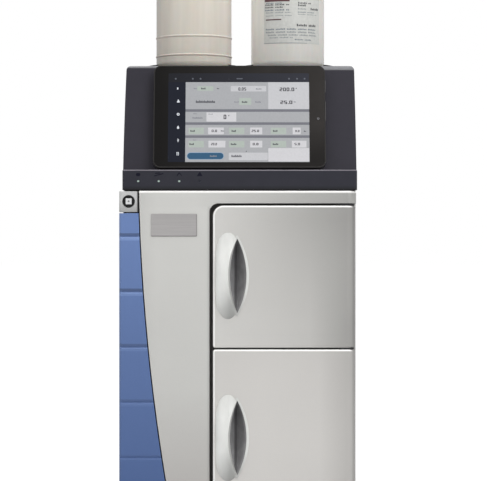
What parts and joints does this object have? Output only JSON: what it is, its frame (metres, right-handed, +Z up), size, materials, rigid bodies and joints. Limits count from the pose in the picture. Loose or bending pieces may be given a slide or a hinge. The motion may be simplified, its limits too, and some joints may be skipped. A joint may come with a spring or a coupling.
{
  "type": "ion chromatograph",
  "caption": "Bench ion chromatograph: silver and blue cabinet with hinged doors, a tilted touch tablet on a dark top cover, and eluent bottles in a tray on top.",
  "frame": {"origin": "on the bench under the middle of the bounding box", "axes": "+Z up, the front with its doors and tablet faces -Y, +X to the right seen from the front"},
  "size_m": [0.2928, 0.53, 0.8213],
  "materials": {
    "feet": "matt rubber",
    "base_pan": "plain grey",
    "left_cover": "powder coat",
    "right_cover": "powder coat",
    "front_bulkhead": "dark powder coat",
    "rear_panel": "powder coat",
    "front_panel": "satin silver paint",
    "blue_panel": "satin metallic blue",
    "button_plate": "satin silver paint",
    "button_ring": "gloss black",
    "hinge_plates": "brushed",
    "hinge_pins": "turned",
    "top_cover": "fine texture",
    "status_band": "fine texture",
    "status_lights": "lit",
    "bottle_tray": "fine texture",
    "tablet_cradle": "matt",
    "upper_compartment": "plain",
    "injection_valve": "turned",
    "valve_actuator": "dark",
    "valve_fittings": "natural",
    "sample_loop": "natural",
    "separator_column": "natural",
    "guard_column": "natural",
    "column_clips": "plain",
    "suppressor": "plain",
    "conductivity_cell": "plain",
    "lower_compartment": "plain",
    "left_pump_head": "turned",
    "right_pump_head": "turned",
    "check_valves": "turned",
    "pump_drive": "cast",
    "pressure_transducer": "machined",
    "eluent_cartridge": "plain",
    "fan_frame": "matt",
    "mains_inlet": "matt",
    "rear_ports": "plain",
    "main_board": "lacquered",
    "upper_door": "satin silver paint",
    "upper_door_liner": "plain",
    "upper_handle": "satin white",
    "lower_door": "satin silver paint",
    "lower_door_liner": "plain",
    "lower_handle": "satin white",
    "tablet_back": "anodised dark",
    "tablet_glass": "gloss",
    "power_button": "satin",
    "tablet_power_key": "satin",
    "tablet_volume_key": "satin",
    "left_bottle": "translucent",
    "right_bottle": "translucent",
    "left_cap": "satin",
    "right_cap": "satin",
    "valve_rotor": "turned",
    "priming_knob": "satin",
    "waste_knob": "satin",
    "left_piston": "ceramic",
    "right_piston": "ceramic",
    "fan_rotor": "matt",
    "mains_switch": "gloss"
  },
  "bodies": {
    "cabinet": {"feet": "feet", "base_pan": "base_pan", "left_cover": "left_cover", "right_cover": "right_cover", "front_bulkhead": "front_bulkhead", "rear_panel": "rear_panel", "front_panel": "front_panel", "blue_panel": "blue_panel", "button_plate": "button_plate", "button_ring": "button_ring", "hinge_plates": "hinge_plates", "hinge_pins": "hinge_pins", "top_cover": "top_cover", "status_band": "status_band", "status_lights": "status_lights", "bottle_tray": "bottle_tray", "tablet_cradle": "tablet_cradle", "upper_compartment": "upper_compartment", "injection_valve": "injection_valve", "valve_actuator": "valve_actuator", "valve_fittings": "valve_fittings", "sample_loop": "sample_loop", "separator_column": "separator_column", "guard_column": "guard_column", "column_clips": "column_clips", "suppressor": "suppressor", "conductivity_cell": "conductivity_cell", "lower_compartment": "lower_compartment", "left_pump_head": "left_pump_head", "right_pump_head": "right_pump_head", "check_valves": "check_valves", "pump_drive": "pump_drive", "pressure_transducer": "pressure_transducer", "eluent_cartridge": "eluent_cartridge", "fan_frame": "fan_frame", "mains_inlet": "mains_inlet", "rear_ports": "rear_ports", "main_board": "main_board"},
    "upper_door_leaf": {"upper_door": "upper_door", "upper_door_liner": "upper_door_liner", "upper_handle": "upper_handle"},
    "lower_door_leaf": {"lower_door": "lower_door", "lower_door_liner": "lower_door_liner", "lower_handle": "lower_handle"},
    "tablet": {"tablet_back": "tablet_back", "tablet_glass": "tablet_glass"},
    "power_button_part": {"power_button": "power_button"},
    "tablet_power_key_part": {"tablet_power_key": "tablet_power_key"},
    "tablet_volume_key_part": {"tablet_volume_key": "tablet_volume_key"},
    "left_bottle_part": {"left_bottle": "left_bottle"},
    "right_bottle_part": {"right_bottle": "right_bottle"},
    "left_cap_part": {"left_cap": "left_cap"},
    "right_cap_part": {"right_cap": "right_cap"},
    "valve_rotor_part": {"valve_rotor": "valve_rotor"},
    "priming_knob_part": {"priming_knob": "priming_knob"},
    "waste_knob_part": {"waste_knob": "waste_knob"},
    "left_piston_part": {"left_piston": "left_piston"},
    "right_piston_part": {"right_piston": "right_piston"},
    "fan_rotor_part": {"fan_rotor": "fan_rotor"},
    "mains_switch_part": {"mains_switch": "mains_switch"}
  },
  "joints": [
    {"name": "upper_door_hinge", "type": "hinge", "parent": "cabinet", "child": "upper_door_leaf", "pos_m": [0.1331, -0.238, 0.3415], "axis": [0, 0, 1], "range_deg": [0, 110]},
    {"name": "lower_door_hinge", "type": "hinge", "parent": "cabinet", "child": "lower_door_leaf", "pos_m": [0.1331, -0.238, 0.1415], "axis": [0, 0, 1], "range_deg": [0, 110]},
    {"name": "power_button_press", "type": "slide", "parent": "cabinet", "child": "power_button_part", "axis": [0, 1, 0], "range_m": [0, 0.002], "stiffness_N_per_m": 600},
    {"name": "tablet_lift", "type": "slide", "parent": "cabinet", "child": "tablet", "axis": [0, -0.9659, 0.2588], "range_m": [0, 0.06]},
    {"name": "tablet_power_key_press", "type": "slide", "parent": "tablet", "child": "tablet_power_key_part", "axis": [-1, 0, 0], "range_m": [0, 0.0005], "stiffness_N_per_m": 900},
    {"name": "tablet_volume_key_press", "type": "slide", "parent": "tablet", "child": "tablet_volume_key_part", "axis": [-1, 0, 0], "range_m": [0, 0.0005], "stiffness_N_per_m": 900},
    {"name": "left_bottle_lift", "type": "slide", "parent": "cabinet", "child": "left_bottle_part", "axis": [0, 0, 1], "range_m": [0, 0.05]},
    {"name": "right_bottle_lift", "type": "slide", "parent": "cabinet", "child": "right_bottle_part", "axis": [0, 0, 1], "range_m": [0, 0.05]},
    {"name": "left_cap_turn", "type": "hinge", "parent": "left_bottle_part", "child": "left_cap_part", "pos_m": [-0.05775, -0.099, 0.8], "axis": [0, 0, 1], "range_deg": [0, 540]},
    {"name": "right_cap_turn", "type": "hinge", "parent": "right_bottle_part", "child": "right_cap_part", "pos_m": [0.06395, -0.099, 0.8], "axis": [0, 0, 1], "range_deg": [0, 540]},
    {"name": "valve_rotor_turn", "type": "hinge", "parent": "cabinet", "child": "valve_rotor_part", "pos_m": [0.006, -0.136, 0.383], "axis": [0, -1, 0], "range_deg": [0, 60]},
    {"name": "priming_knob_turn", "type": "hinge", "parent": "cabinet", "child": "priming_knob_part", "pos_m": [0.048, -0.187, 0.152], "axis": [0, -1, 0], "range_deg": [0, 180]},
    {"name": "waste_knob_turn", "type": "hinge", "parent": "cabinet", "child": "waste_knob_part", "pos_m": [0.036, -0.177, 0.076], "axis": [0, -1, 0], "range_deg": [0, 180]},
    {"name": "left_piston_slide", "type": "slide", "parent": "cabinet", "child": "left_piston_part", "axis": [0, 1, 0], "range_m": [-0.003, 0.003]},
    {"name": "right_piston_slide", "type": "slide", "parent": "cabinet", "child": "right_piston_part", "axis": [0, 1, 0], "range_m": [-0.003, 0.003]},
    {"name": "fan_spin", "type": "hinge", "parent": "cabinet", "child": "fan_rotor_part", "pos_m": [0.0576, 0.237, 0.33], "axis": [0, 1, 0], "continuous": true},
    {"name": "mains_switch_rock", "type": "hinge", "parent": "cabinet", "child": "mains_switch_part", "pos_m": [0.0916, 0.25, 0.083], "axis": [1, 0, 0], "range_deg": [0, 18]}
  ],
  "couplings": [
    {"joint": "right_piston_slide", "follows": "left_piston_slide", "ratio": -1}
  ]
}
